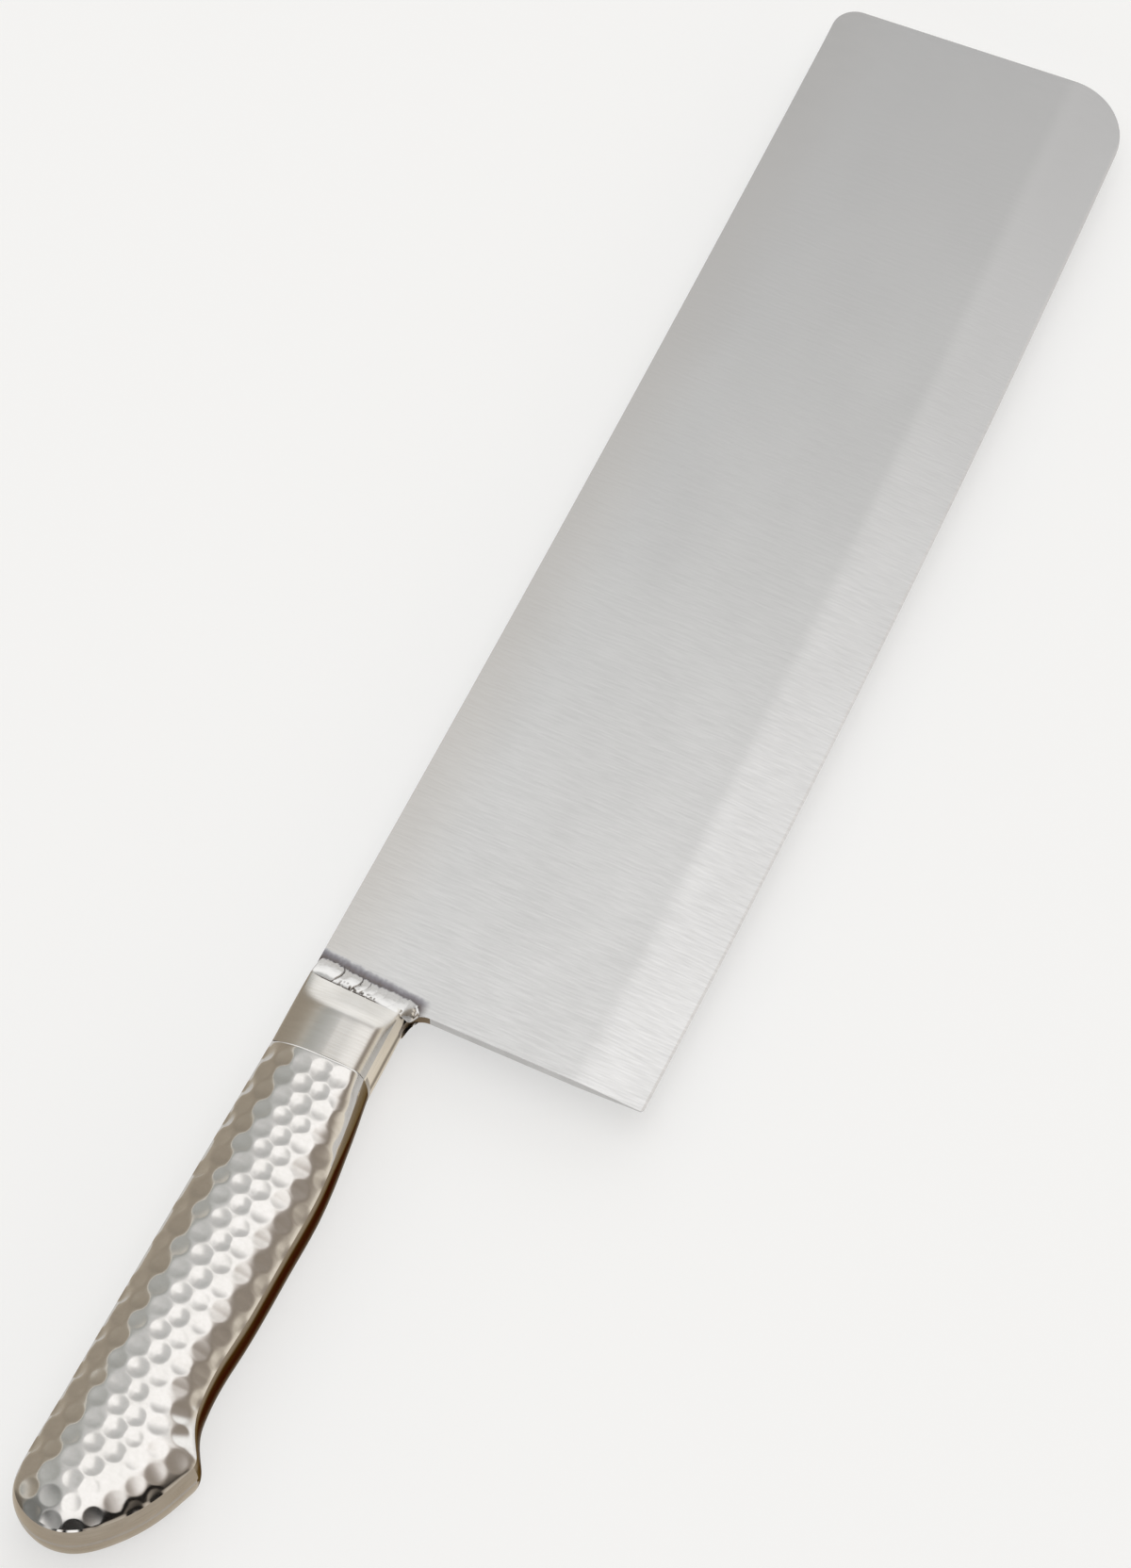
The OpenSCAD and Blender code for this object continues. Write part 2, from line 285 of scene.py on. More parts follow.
handle = {
    "depth": 23.3, "wall": 1.2, "rimHeight": 5.5, "rimBulge": 0.7, "jointX": -23.3, "jointDepth": 20.6,
    # the crown of the face: where its crest runs, how wide it is flat, and how it falls, flatter near the bolster
    "crestFrom": (-22.3, -12.2), "crestTo": (-113.1, -10.9), "crestShare": 0.12, "crownPower": 2.5,
    "frontPower": 6.5, "frontPowerTo": 24,
    # how far the face eases off at the crease along the rim, and at the joint by mm behind it
    "creaseEasing": 0.3, "frontEasing": [(0, 0.42), (0.07, 0.22), (0.2, 0.07), (0.38, 0)],
    # outline from the belly's joint round the butt to the back, in shares of length and depth
    "outline": [(0.263, 0.95), (0.372, 1.009), (0.48, 1), (0.589, 0.985), (0.682, 0.952), (0.744, 0.972),
                (0.772, 1.02), (0.796, 1.094), (0.818, 1.163), (0.837, 1.138), (0.904, 0.978), (0.954, 0.773),
                (0.99, 0.528), (1, 0.283), (0.988, 0.056), (0.96, -0.094), (0.918, -0.1284), (0.798, -0.107),
                (0.503, -0.06)],
    "curveStep": 0.25, "curveReach": 5, "columns": 300, "buttColumns": 84, "buttOverlap": 3, "rows": 72,
    "rimRows": [0.6, 1.3, 2.1, 2.9, 3.6, 4.3, 4.9, 5.2, 5.38],
    "dimple": 4.05, "dimpleDepth": 0.17, "dimpleSizes": (0.9, 1.1), "wander": 0.22, "smoothing": 1,
    # by a column's count from the joint: where it stands, how high its middle lies, how far apart its dimples are
    "columnsAt": [(0, -26.4), (8, -57.2), (20, -107), (27, -135)],
    "middlesAt": [(0, -12.6), (8, -11.3), (18, -11.3), (22, -10.3), (26, -9.8)],
    "pitchAcross": [(0, 3.9), (8, 4.28)], "dimpleRows": 6,
    # where a dimple is left out: past the ends, off the face, or too far from its nearest point in dimple widths
    "pastEnds": 1, "offFace": 14, "offPoint": 0.24, "rimMargin": 0.1,
    "colour": "#cbc8c5", "dull": "#c5c2be", "roughness": (0.12, 0.16), "haze": (0.8, 1.1, 1.1), "hazeBump": 0.0006,
    # the rim's colours are darker than the steel is: partly its linished finish, partly painted shade for the shadowed
    # ground it mirrors
    "rimColour": "#aaa092", "rimDull": "#9c9182", "rimRoughness": (0.2, 0.28), "rimEdgeTint": "#f4ece0",
    "rimMarks": (6, 6, 0.3), "rimBump": 0.0015,
}
# painted reflection along the belly's rim: brown, darker at grazing angles, standing for the dark ground the rim
# mirrors;
# half its width along the grip and over the bolster, where it comes and narrows, how unevenly its edge runs
darkRimReflection = {
    "colour": "#635746", "edgeTint": "#8e7e68", "halves": (3.6, 0.9), "comes": (-109, -103), "narrows": (-42, -27),
    "bellyY": -10, "bellyFade": 2, "waves": (14, 14, 3), "waveDepth": 1.2, "edgeFade": (-0.8, 0.5),
    "plainTo": -106.5,
}


def shellSteel():  # pressed stainless sheet, hammered in the die and then polished: clear reflections, faint haze
    return satin("polishedHammeredSteel", handle["colour"], handle["dull"], handle["roughness"], handle["haze"],
                 handle["hazeBump"])


def rimSteel():  # the same sheet, linished round the rim, its colour darkened further as painted shade for the shadowed ground it mirrors
    return satin("linishedRimSteelPaintedShade", handle["rimColour"], handle["rimDull"], handle["rimRoughness"],
                 handle["rimMarks"], handle["rimBump"], handle["rimEdgeTint"])


def reflectionPaintedSteel(name, light, dull, edgeTint, marks, bump):  # rim steel with a painted dark reflection: a brown band along the belly's rim, for the dark ground it mirrors
    material = satin(name, light, dull, handle["rimRoughness"], marks, bump, edgeTint)
    tree = material.node_tree
    baseColour = tree.nodes["Principled BSDF"].inputs["Base Color"]
    axes = addNode(tree, "SeparateXYZ", {0: addNode(tree, "TexCoord").outputs["Object"]})
    (comesX, fullX), (gripX, collarX) = darkRimReflection["comes"], darkRimReflection["narrows"]
    wide, narrow = darkRimReflection["halves"]
    half = addNode(tree, "MapRange", {"Value": axes.outputs["X"], "From Min": place.x + gripX * mm,
                                      "From Max": place.x + collarX * mm, "To Min": wide * mm, "To Max": narrow * mm})
    height = addNode(tree, "Math", {0: axes.outputs["Z"], 1: place.z}, operation="SUBTRACT")
    away = addNode(tree, "Math", {0: height.outputs[0]}, operation="ABSOLUTE")
    wavy = addNode(tree, "Math", {0: grain(tree, darkRimReflection["waves"], 2.0), 1: darkRimReflection["waveDepth"] * mm,
                                  2: -darkRimReflection["waveDepth"] / 2 * mm}, operation="MULTIPLY_ADD")
    edge = addNode(tree, "Math", {0: half.outputs[0], 1: wavy.outputs[0]}, operation="ADD")
    inside = addNode(tree, "Math", {0: edge.outputs[0], 1: away.outputs[0]}, operation="SUBTRACT")
    start, end = darkRimReflection["edgeFade"]
    near = addNode(tree, "MapRange", {"Value": inside.outputs[0], "From Min": start * mm, "From Max": end * mm},
                   **smoothly)
    along = addNode(tree, "MapRange", {"Value": axes.outputs["X"], "From Min": place.x + comesX * mm,
                                       "From Max": place.x + fullX * mm}, **smoothly)
    share = addNode(tree, "Math", {0: near.outputs[0], 1: along.outputs[0]}, operation="MULTIPLY")
    middle, fade = darkRimReflection["bellyY"], darkRimReflection["bellyFade"]
    belly = addNode(tree, "MapRange", {"Value": axes.outputs["Y"], "From Min": place.y + (middle + fade) * mm,
                                       "From Max": place.y + (middle - fade) * mm})
    share = addNode(tree, "Math", {0: share.outputs[0], 1: belly.outputs[0]}, operation="MULTIPLY")
    # painted reflection: dark brown where the belly's rim mirrors the dark ground
    darkened = addNode(tree, "Mix", {0: share.outputs[0], 6: baseColour.links[0].from_socket,
                                    7: linear(darkRimReflection["colour"])}, data_type="RGBA")
    tree.links.new(darkened.outputs[2], baseColour)
    return material


handleCurve = throughPoints([(handle["jointX"], -handle["jointDepth"])]
                            + [(-knife["handleLength"] * a, -handle["depth"] * b) for a, b in handle["outline"]]
                            + [(handle["jointX"], 0)], 24)
handleCurve = evened(evenSteps(handleCurve, handle["curveStep"]), handle["curveReach"])
crestFrom, crestTo = Vector((*handle["crestFrom"], 0)), Vector((*handle["crestTo"], 0))
buttPolar = sorted((math.atan2(p.y - crestTo.y, crestTo.x - p.x), (p - crestTo).length)
                   for p in handleCurve if p.x < crestTo.x + handle["buttOverlap"])


def crestPoint(x):
    return crestFrom.lerp(crestTo, clamp((x - crestFrom.x) / (crestTo.x - crestFrom.x)))


def buttReach(angle):  # distance from the crest's end to the outline, by the angle up from the way back
    for (a, r), (b, s) in zip(buttPolar, buttPolar[1:]):
        if a <= angle <= b:
            return mix(r, s, (angle - a) / (b - a))
    return buttPolar[0][1] if angle < buttPolar[0][0] else buttPolar[-1][1]


@lru_cache(maxsize=None)
def outlineY(x, side):
    return heightAt(handleCurve, x, side)


def handleStation(k, side):  # outline point at column k on the belly (-1) or back (+1)
    if k <= handle["columns"]:
        eased = handle["frontEasing"]
        x = handle["jointX"] - eased[min(k, len(eased) - 1)][0]
        if k >= len(eased):
            x = mix(x, crestTo.x, (k + 1 - len(eased)) / (handle["columns"] + 1 - len(eased)))
        return Vector((x, outlineY(round(x, 4), side), 0))
    angle = side * math.pi / 2 * (1 - (k - handle["columns"]) / handle["buttColumns"])
    return crestTo + Vector((-math.cos(angle), math.sin(angle), 0)) * buttReach(angle)


def crownAt(p):  # height of the crowned face above the blade's middle
    c = crestPoint(p.x)
    out = Vector((p.x - c.x, p.y - c.y, 0))
    if p.x >= crestTo.x:
        reach = abs(outlineY(round(p.x, 4), 1 if out.y >= 0 else -1) - c.y)
    else:
        reach = buttReach(math.atan2(out.y, -out.x))
    share = out.length / (reach - handle["rimBulge"])
    share = clamp((share - handle["crestShare"]) / (1 - handle["crestShare"]))
    power = handle["crownPower"]
    if out.y < 0:
        power = mix(handle["frontPower"], power, softStep(handle["jointX"] - p.x, 0, handle["frontPowerTo"]))
    return mix(knife["halfThickness"], handle["rimHeight"], share ** power)


def rimInset(z):  # how far the bulging rim lies back at height z
    return handle["rimBulge"] * (z / handle["rimHeight"]) ** 2


def rimPoint(p, z, further=0):
    q = p + (crestPoint(p.x) - p).normalized() * (rimInset(z) + further)
    return (q.x, q.y, z)


def handleShell():
    rimRows = handle["rimRows"]
    steps, rim = handle["columns"] + handle["buttColumns"], len(rimRows)
    rows = 2 * rim + handle["rows"]
    stations = [(handleStation(k, -1), handleStation(k, 1)) for k in range(steps + 1)]
    creases = [[Vector(rimPoint(p, handle["rimHeight"], handle["creaseEasing"])) for p in pair] for pair in stations]

    def where(i, j):
        if j < rim:
            return rimPoint(stations[i][0], rimRows[j])
        if j > rows - rim:
            return rimPoint(stations[i][1], rimRows[rows - j])
        p = creases[i][0].lerp(creases[i][1], (j - rim) / handle["rows"])
        return (p.x, p.y, crownAt(p) - (handle["frontEasing"][i][1] if i < len(handle["frontEasing"]) else 0))

    obj = weldUp(gridSkin("hammered_shell_right", steps, rows, where), 0.002, close=False)
    if sum(f.normal.z * f.area for f in obj.data.polygons) < 0:
        obj.data.flip_normals()
    return obj


def dimpleCentres():
    random.seed(7)
    centres = []
    for column in range(handle["columnsAt"][-1][0]):
        x = readOff(handle["columnsAt"], column)
        across = readOff(handle["pitchAcross"], column)
        middle = readOff(handle["middlesAt"], column) + (across / 2 if column % 2 else 0)
        for row in range(-handle["dimpleRows"], handle["dimpleRows"] + 1):
            wander = Vector((random.uniform(-1, 1), random.uniform(-1, 1), 0)) * handle["wander"]
            centres.append((Vector((x, middle + row * across, 0)) + wander, random.uniform(*handle["dimpleSizes"])))
    return centres


def pressDimples(obj):  # each dimple is one point pushed in, with its neighbours following a round fall-off
    bm = editStart(obj)
    rimTop = place.z + (handle["rimHeight"] + handle["rimMargin"]) * mm
    pickFaces(obj, lambda f: f.calc_center_median().z < rimTop)  # the rim and the eased crease stay smooth
    bpy.ops.mesh.hide(unselected=False)
    bpy.ops.mesh.select_mode(type="VERT")
    shown = [v for v in bm.verts if not v.hide]
    tree = kdtree.KDTree(len(shown))
    for i, v in enumerate(shown):
        tree.insert(v.co, i)
    tree.balance()
    pushed = 0
    for centre, size in dimpleCentres():
        c = crestPoint(centre.x)
        if not -knife["handleLength"] - handle["pastEnds"] <= centre.x <= handle["jointX"] + handle["pastEnds"]:
            continue
        height = crownAt(centre)
        if height <= handle["rimHeight"] and (centre - c).length > handle["offFace"]:
            continue
        co, index, distance = tree.find(point(centre.x, centre.y, height))
        if distance > handle["dimple"] * handle["offPoint"] * mm:
            continue
        v = shown[index]
        bpy.ops.mesh.select_all(action="DESELECT")
        v.select_set(True)
        bmesh.update_edit_mesh(obj.data, loop_triangles=False, destructive=False)
        bpy.ops.transform.translate(value=-v.normal * handle["dimpleDepth"] * size * mm, use_proportional_edit=True,
                                    proportional_edit_falloff="INVERSE_SQUARE",
                                    proportional_size=handle["dimple"] / 2 * size * mm)
        pushed += 1
    bpy.ops.mesh.select_all(action="SELECT")
    bpy.ops.mesh.vertices_smooth(factor=0.5, repeat=handle["smoothing"])  # rounds the ridges between the dimples
    bpy.ops.mesh.reveal(select=False)
    editEnd()
    print("dimples pressed:", pushed)
    return obj


def onRim(face):  # whether a face is part of the ground rim
    return abs(face.calc_center_median().z - place.z) < (handle["rimRows"][-1] + 0.001) * mm


def onGripBelly(face):  # along the grip's belly, not round the butt
    middle, corner = face.calc_center_median(), point(darkRimReflection["plainTo"], darkRimReflection["bellyY"], 0)
    return middle.x > corner.x and middle.y < corner.y


shell = pressDimples(handleShell())
applied(shell, "SOLIDIFY", thickness=handle["wall"] * mm, offset=-1)
print("shell faces:", len(shell.data.polygons))
smoothShade(shell, 20)
shell.data.materials.append(shellSteel())
giveFinish(shell, rimSteel(), onRim)
# the belly's rim gets a painted dark reflection, a brown band
giveFinish(shell, reflectionPaintedSteel("rimSteelDarkReflection", handle["rimColour"], handle["rimDull"], darkRimReflection["edgeTint"],
                              handle["rimMarks"], handle["rimBump"]), lambda f: onRim(f) and onGripBelly(f))
shellLeft = mirrored(shell, "hammered_shell_left")
finishPiece(shell, "handle_shell_right")
finishPiece(shellLeft, "handle_shell_left")
print("handle shells made")

# weld ground flush with the rim and buffed, a little duller than the sheet
seamWeld = {"half": 0.6, "depth": 0.8, "step": 0.8, "colour": "#a59b8d", "dull": "#968b7d", "marks": (1.2, 1.2, 0.4),
            "bump": 0.004}


def makeSeamWeld():
    curve = evenSteps(handleCurve, seamWeld["step"])
    # shares of the depth and of the half width
    section = [(0, -1), (0, -0.5), (0, 0), (0, 0.5), (0, 1), (1, 1), (1, -1), (0, -1)]

    def where(i, j):
        depth, height = section[j]
        return rimPoint(curve[i], height * seamWeld["half"], depth * seamWeld["depth"])

    return weldUp(gridSkin("ground_seam_weld", len(curve) - 1, len(section) - 1, where))


seam = smoothShade(makeSeamWeld(), 20)
groundWeld = satin("groundWeld", seamWeld["colour"], seamWeld["dull"], handle["rimRoughness"], seamWeld["marks"],
                   seamWeld["bump"])
seam.data.materials.append(groundWeld)
# the seam weld along the belly gets the same painted dark reflection
giveFinish(seam, reflectionPaintedSteel("groundWeldDarkReflection", seamWeld["colour"], seamWeld["dull"], darkRimReflection["edgeTint"],
                             seamWeld["marks"], seamWeld["bump"]), onGripBelly)
finishPiece(seam, "seam_weld")
print("seam weld made")

bolster = {
    "top": 8.5, "crest": -12.8, "nose": -7.0, "noseHeight": 5.0, "shoulder": 6.0, "fillet": 1.0,
    # how the face falls to the rim at the belly, square but a little rolled, and at the back
    "bellyPower": 7.0, "bellyRoll": 0.2, "backPower": 1.7,
    "slotDepth": 3.0, "slotGap": 0.02, "past": 1, "rimDepth": 1.2, "rimBand": 0.75, "faceSteps": 64, "step": 0.4,
    "colour": "#c7c4c0", "dull": "#bfbbb5", "roughness": (0.2, 0.26), "marks": (0.3, 6, 6), "bump": 0.0015,
    # the belly rim band's cream colours, lighter than the steel, are a painted reflection
    "rimColour": "#e8e0d3", "rimDull": "#dfd6c7", "rimEdgeTint": "#f6efe4",
}


def bolsterSteel():  # cast stainless collar, linished across: soft reflections with fine lines from back to belly
    return satin("linishedBolsterSteel", bolster["colour"], bolster["dull"], bolster["roughness"], bolster["marks"],
                 bolster["bump"])


def crownOf(y):  # height of the bolster's face across its depth
    belly = y < bolster["crest"]
    inner = handle["rimBulge"] - handle["jointDepth"] if belly else -handle["rimBulge"]
    share = (y - bolster["crest"]) / (inner - bolster["crest"])
    share = clamp((share - handle["crestShare"]) / (1 - handle["crestShare"]))
    if belly:
        fall = mix(share ** bolster["bellyPower"], share ** 2, bolster["bellyRoll"])
    else:
        fall = share ** bolster["backPower"]
    return mix(bolster["top"], handle["rimHeight"], fall)


def bolsterSection():  # half section from the belly seam over the crown to the back seam, as (y, z)
    bulge = [(rimInset(z), z) for z in [0] + handle["rimRows"]]
    low, high = [bulge[-1][0] + handle["creaseEasing"] + d for d in (-handle["jointDepth"], 0)]
    high = -high
    steps = bolster["faceSteps"]
    crown = [(mix(low, high, k / steps), crownOf(mix(low, high, k / steps))) for k in range(steps + 1)]
    return [(d - handle["jointDepth"], z) for d, z in bulge] + crown + [(-d, z) for d, z in reversed(bulge)]


def shoulderShare(x):  # how far the section has shrunk to the front's height: an eased slope
    drop = bolster["top"] - bolster["noseHeight"]
    along = (x + bolster["shoulder"] - bolster["nose"]) / bolster["shoulder"]
    return (bolster["top"] - softLow(bolster["top"], bolster["top"] - along * drop, bolster["fillet"])) / drop


def shoulderHeight(x, y):
    return mix(crownOf(y), bolster["noseHeight"], shoulderShare(x))


def bolsterBody():
    section = bolsterSection()
    ring = section + [(y, -z) for y, z in reversed(section[1:-1])]
    count = int((bolster["nose"] - handle["jointX"]) / bolster["step"]) + 1
    stations = [handle["jointX"] + k * bolster["step"] for k in range(count)]
    stations[-1] = bolster["nose"]

    def where(i, j):
        y, z = ring[j % len(ring)]
        beside = y < -handle["jointDepth"] + bolster["rimDepth"] or y > -bolster["rimDepth"]
        share = abs(z) / handle["rimHeight"]
        front = bolster["noseHeight"] * (share if beside and share <= 1 else 1)
        return (stations[i], y, math.copysign(mix(abs(z), front, shoulderShare(stations[i])), z))

    obj = weldUp(gridSkin("bolster_collar", len(stations) - 1, len(ring), where))
    bpy.ops.mesh.primitive_cube_add(size=1, location=(0, 0, 0))
    cutter = bpy.context.object
    half = knife["bladeHalf"] + bolster["slotGap"]
    low = point(bolster["nose"] - bolster["slotDepth"], -handle["jointDepth"] - bolster["past"], -half)
    high = point(bolster["nose"] + bolster["past"], bolster["past"], half)
    for v in cutter.data.vertices:
        v.co = [high[k] if v.co[k] > 0 else low[k] for k in range(3)]
    applied(obj, "BOOLEAN", operation="DIFFERENCE", object=cutter, solver="EXACT")
    bpy.data.objects.remove(cutter)
    return obj


collar = smoothShade(bolsterBody(), 20)
collar.data.materials.append(bolsterSteel())
collarBelly = -handle["jointDepth"] + bolster["rimBand"]
# the collar's belly rim: a painted cream reflection, with a thin painted dark reflection line along it
giveFinish(collar, reflectionPaintedSteel("collarRimPaintedReflections", bolster["rimColour"], bolster["rimDull"], bolster["rimEdgeTint"],
                               handle["rimMarks"], handle["rimBump"]),
           lambda f: onRim(f) and (f.calc_center_median().y - place.y) / mm < collarBelly)
finishPiece(collar, "bolster")
print("bolster made")

jointWeld = {"half": 4.7, "width": 1.0, "depth": 0.8, "proud": 0.01, "steps": 12}


def makeJointWeld(name, belly):  # short flush weld where the shells' rims meet the bolster
    corners = [(0, 0), (0, 1), (1, 1), (1, 0), (0, 0)]  # shares of depth and width

    def where(i, j):
        z = mix(-jointWeld["half"], jointWeld["half"], i / jointWeld["steps"])
        depth, ahead = corners[j]
        inwards = rimInset(z) - jointWeld["proud"] + depth * jointWeld["depth"]
        return (handle["jointX"] + ahead * jointWeld["width"],
                -handle["jointDepth"] + inwards if belly else -inwards, z)

    return weldUp(gridSkin(name, jointWeld["steps"], len(corners) - 1, where))


joints, backJoint = makeJointWeld("ground_joint_welds", True), makeJointWeld("joint_weld_back", False)
makeActive(joints)
backJoint.select_set(True)
bpy.ops.object.join()
smoothShade(joints, 32)
joints.data.materials.append(groundWeld)
finishPiece(joints, "joint_welds")
print("joint welds made")

blade = {
    "length": 245.96, "bevel": 13, "edgeHalf": 0.06, "microHalf": 0.2, "microHeight": 0.5, "bevelRound": 0.16,
    "edgeRadius": 4400, "edgeLowX": 45, "hollow": 0.8, "lean": 4.2, "spineCorner": 5, "edgeCorner": 13,
    "heelRadius": 0.8, "choil": 4, "heelBack": 4.8, "neckFrom": -9.9,
    "spineSteps": 24, "edgeSteps": 40, "choilSteps": 12, "heelSteps": 8, "stations": 128, "blank": (-14, 250),
    "cutterHalf": 3,
    # heights above the edge where the blank has points
    "heights": [0, 0.25, 0.5, 0.8, 2, 4, 6, 8, 9, 10, 10.6, 11.2, 11.8, 12.4, 13, 13.6, 14.2, 14.8, 15.6, 17, 20,
                30, 45, 60, 72],
    # ground finish: streak and cloud sizes, how it turns warm towards the spine, and painted shade that darkens it
    # towards the tip
    "dark": "#bfbebd", "light": "#cbcac9", "roughness": (0.2, 0.27), "streaks": (0.42, 6, 6), "bump": 0.006,
    "clouds": (34, 18, 18), "cloudShare": 0.3, "streakSpread": (0.3, 0.7),
    "warm": "#bab4ad", "warmDepth": 16, "warmShare": 0.45, "tipShade": "#b0afae", "tipShadeReach": (70, 246), "tipShadeShare": 0.8,
    # heat tint by mm ahead of the weld's toe, and the toe's x at the spine and lean towards the belly
    "tintStops": [(-1.2, "#6a6462"), (-0.3, "#5a5150"), (0.2, "#6c6664"), (0.6, "#716c6e"), (1.0, "#7d7a7e"),
                  (1.4, "#939194"), (1.8, "#b0afb0"), (2.2, "#c5c4c3")],
    "tintToe": -1.7, "tintLean": 0.08, "tintDepth": 21.6, "tintFoot": 2.4, "tintFade": 0.86,
    "tintFlicker": (1.4, 0.9, 1), "flickerDepth": 1.2,
    # the cut edge in the choil, coloured brown
    "choilColour": "#7d6746", "choilDull": "#5b482e", "choilRoughness": (0.25, 0.3), "choilMarks": (2, 2, 0.3),
    "choilBump": 0.0015, "choilFrom": (-11, -26.5), "choilMargin": 0.1,
}


def bladeSteel():  # stainless knife steel, belt ground across the blade: satin with short streaks from spine to edge
    material, tree, surface = bareMetal("groundBladeSteel")
    streaks = grain(tree, blade["streaks"], 3.0, 0.65)  # the real ones are thinner than a pixel: drawn coarser
    clouds = grain(tree, blade["clouds"], 2.0)
    both = addNode(tree, "Mix", {0: blade["cloudShare"], 2: streaks, 3: clouds}).outputs[0]
    spread = addNode(tree, "MapRange", {"Value": both, **noiseSpread})
    ground = addNode(tree, "Mix", {0: spread.outputs[0], 6: linear(blade["dark"]), 7: linear(blade["light"])},
                     data_type="RGBA")
    axes = addNode(tree, "SeparateXYZ", {0: addNode(tree, "TexCoord").outputs["Object"]})
    nearSpine = addNode(tree, "MapRange", {"Value": axes.outputs["Y"], "From Min": place.y - blade["warmDepth"] * mm,
                                           "From Max": place.y, "To Max": blade["warmShare"]},
                        **smoothly)
    warmed = addNode(tree, "Mix", {0: nearSpine.outputs[0], 6: ground.outputs[2], 7: linear(blade["warm"])},
                     data_type="RGBA")
    # painted shade: the steel darkens towards the tip, standing for a dimmer reflection there
    start, end = blade["tipShadeReach"]
    tipShading = addNode(tree, "MapRange", {"Value": axes.outputs["X"], "From Min": place.x + start * mm,
                                         "From Max": place.x + end * mm, "To Max": blade["tipShadeShare"]})
    ground = addNode(tree, "Mix", {0: tipShading.outputs[0], 6: warmed.outputs[2], 7: linear(blade["tipShade"])},
                     data_type="RGBA")
    # heat tint in front of the weld: straw and violet grey, darkest beside the bead
    toe = addNode(tree, "Math", {0: axes.outputs["Y"], 1: blade["tintLean"],
                                 2: place.x + blade["tintToe"] * mm - place.y * blade["tintLean"]},
                  operation="MULTIPLY_ADD")
    ahead = addNode(tree, "Math", {0: axes.outputs["X"], 1: toe.outputs[0]}, operation="SUBTRACT")
    flicker = addNode(tree, "Math", {0: grain(tree, blade["tintFlicker"], 4.0, 0.6), 1: blade["flickerDepth"] * mm,
                                     2: -blade["flickerDepth"] / 2 * mm}, operation="MULTIPLY_ADD")
    uneven = addNode(tree, "Math", {0: ahead.outputs[0], 1: flicker.outputs[0]}, operation="ADD")
    first, last = blade["tintStops"][0][0], blade["tintStops"][-1][0]
    heat = addNode(tree, "MapRange", {"Value": uneven.outputs[0], "From Min": first * mm, "From Max": last * mm})
    tint = addNode(tree, "ValToRGB", {0: heat.outputs[0]},
                   [((reach - first) / (last - first), colour) for reach, colour in blade["tintStops"]])
    tinted = addNode(tree, "MapRange", {"Value": heat.outputs[0], "From Min": 1.0, "From Max": blade["tintFade"]})
    lowest = place.y - blade["tintDepth"] * mm
    reached = addNode(tree, "MapRange", {"Value": axes.outputs["Y"], "From Min": lowest - blade["tintFoot"] * mm,
                                         "From Max": lowest}, **smoothly)
    tinted = addNode(tree, "Math", {0: tinted.outputs[0], 1: reached.outputs[0]}, operation="MULTIPLY")
    colour = addNode(tree, "Mix", {0: tinted.outputs[0], 6: ground.outputs[2], 7: tint.outputs[0]}, data_type="RGBA")
    (least, most), (low, high) = blade["streakSpread"], blade["roughness"]
    rough = addNode(tree, "MapRange", {"Value": streaks, "From Min": least, "From Max": most, "To Min": high,
                                       "To Max": low})
    relief = addNode(tree, "Bump", {"Strength": 1.0, "Distance": blade["bump"] * mm, "Height": streaks})
    linkSurface(tree, surface, colour, rough, relief)
    return material


def edgeY(x):
    drop = math.sqrt(blade["edgeRadius"] ** 2 - (x - blade["edgeLowX"]) ** 2)
    return blade["edgeRadius"] - knife["bladeHeight"] - drop


def roundedCorner(a, b, c, radius, steps=14):
    a, b, c = (Vector((*p, 0)) for p in (a, b, c))
    u, v = (a - b).normalized(), (c - b).normalized()
    half = u.angle(v) / 2
    centre = b + (u + v).normalized() * radius / math.sin(half)
    start, end = b + u * radius / math.tan(half) - centre, b + v * radius / math.tan(half) - centre
    return [centre + start.normalized().slerp(end.normalized(), k / steps) * radius for k in range(steps + 1)]


def bladeOutline():
    topX = blade["length"] - blade["lean"]
    front = (blade["length"], edgeY(blade["length"]))
    edgeFrom = blade["length"] - 2 * blade["edgeCorner"]
    edgeTo = 2 * blade["heelRadius"] - blade["heelBack"]
    choil, back, neck = blade["choil"], blade["heelBack"], -handle["jointDepth"]
    steps = blade["spineSteps"]
    spine = [(topX * k / steps, -blade["hollow"] * 4 * k / steps * (1 - k / steps), 0) for k in range(steps)]
    steps = blade["edgeSteps"]
    edge = [(mix(edgeFrom, edgeTo, k / steps), edgeY(mix(edgeFrom, edgeTo, k / steps)), 0) for k in range(1, steps)]
    turns = [math.radians(90 / blade["choilSteps"] * k) for k in range(blade["choilSteps"] + 1)]
    hollow = [(-back - choil + choil * math.cos(a), neck - choil + choil * math.sin(a), 0) for a in turns]
    return (spine + roundedCorner((0, 0), (topX, 0), front, blade["spineCorner"])
            + roundedCorner((topX, 0), front, (edgeFrom, edgeY(edgeFrom)), blade["edgeCorner"]) + edge
            + roundedCorner((edgeTo, edgeY(edgeTo)), (-back, edgeY(-back)), (-back, neck), blade["heelRadius"],
                            blade["heelSteps"])
            + hollow + [(blade["neckFrom"], neck, 0), (blade["neckFrom"], 0, 0)])


def bladeThickness(d):  # half thickness at a height above the edge
    if d < blade["microHeight"]:
        return mix(blade["edgeHalf"], blade["microHalf"], d / blade["microHeight"])
    share = (d - blade["microHeight"]) / (blade["bevel"] - blade["microHeight"])
    return softLow(mix(blade["microHalf"], knife["bladeHalf"], share), knife["bladeHalf"], blade["bevelRound"])


